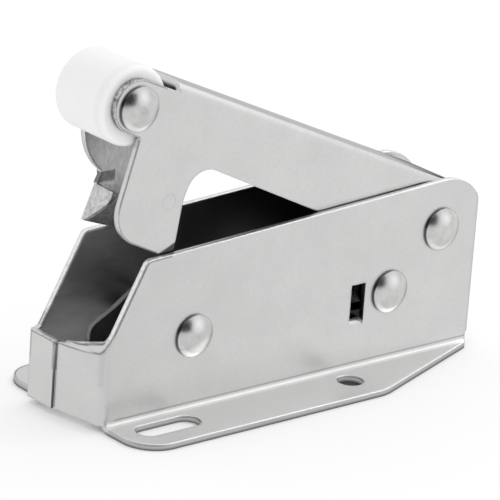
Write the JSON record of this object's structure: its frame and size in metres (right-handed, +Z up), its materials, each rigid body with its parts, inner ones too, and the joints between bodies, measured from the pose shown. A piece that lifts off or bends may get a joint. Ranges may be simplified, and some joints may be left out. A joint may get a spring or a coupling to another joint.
{
  "type": "touch latch",
  "caption": "Screw-on touch latch: folded steel housing, sprung lever with a nylon roller, and an index plate that locks the lever down on one push and frees it on the next.",
  "frame": {"origin": "midway between the two round screw holes, on the mounting plane under the flanges", "axes": "+X along the housing towards the lever's pivot end, +Z up from the mounting plane, -Y towards the wall that the index plate is near"},
  "size_m": [0.0804, 0.0378, 0.0585],
  "materials": {
    "plated_sheet": "bright nickel plating on cold-rolled sheet",
    "plated_pin": "bright nickel plating on riveted pins",
    "spring_wire": "bright spring wire",
    "nylon": "white moulded nylon"
  },
  "bodies": {
    "housing": {"housing": "plated_sheet", "lever_pin": "plated_pin", "lever_pin_sleeve": "plated_pin", "spring_pin": "plated_pin", "index_pin": "plated_pin", "pawl_spacer_near": "plated_pin", "pawl_spacer_far": "plated_pin", "main_spring": "spring_wire", "pawl_spring": "spring_wire"},
    "lever": {"lever": "plated_sheet", "roller_pin": "plated_pin", "follower_stud": "plated_pin"},
    "roller": {"roller": "nylon"},
    "pawl": {"index_pawl": "plated_sheet"}
  },
  "joints": [
    {"name": "lever_pivot", "type": "hinge", "parent": "housing", "child": "lever", "pos_m": [0.02155, 0, 0.02195], "axis": [0, -1, 0], "range_deg": [0, 26.3], "stiffness_Nm_per_rad": 1.2, "springref_deg": -34.38, "deforming": ["main_spring"]},
    {"name": "roller_spin", "type": "hinge", "parent": "lever", "child": "roller", "pos_m": [-0.04289, 0, 0.052], "axis": [0, 1, 0], "continuous": true},
    {"name": "pawl_pivot", "type": "hinge", "parent": "housing", "child": "pawl", "pos_m": [-0.03, 0, 0.0131], "axis": [0, -1, 0], "range_deg": [0, 12.5], "deforming": ["pawl_spring"]}
  ],
  "couplings": [
    {"joint": "pawl_pivot", "follows": "lever_pivot", "ratio": 0.4563}
  ]
}
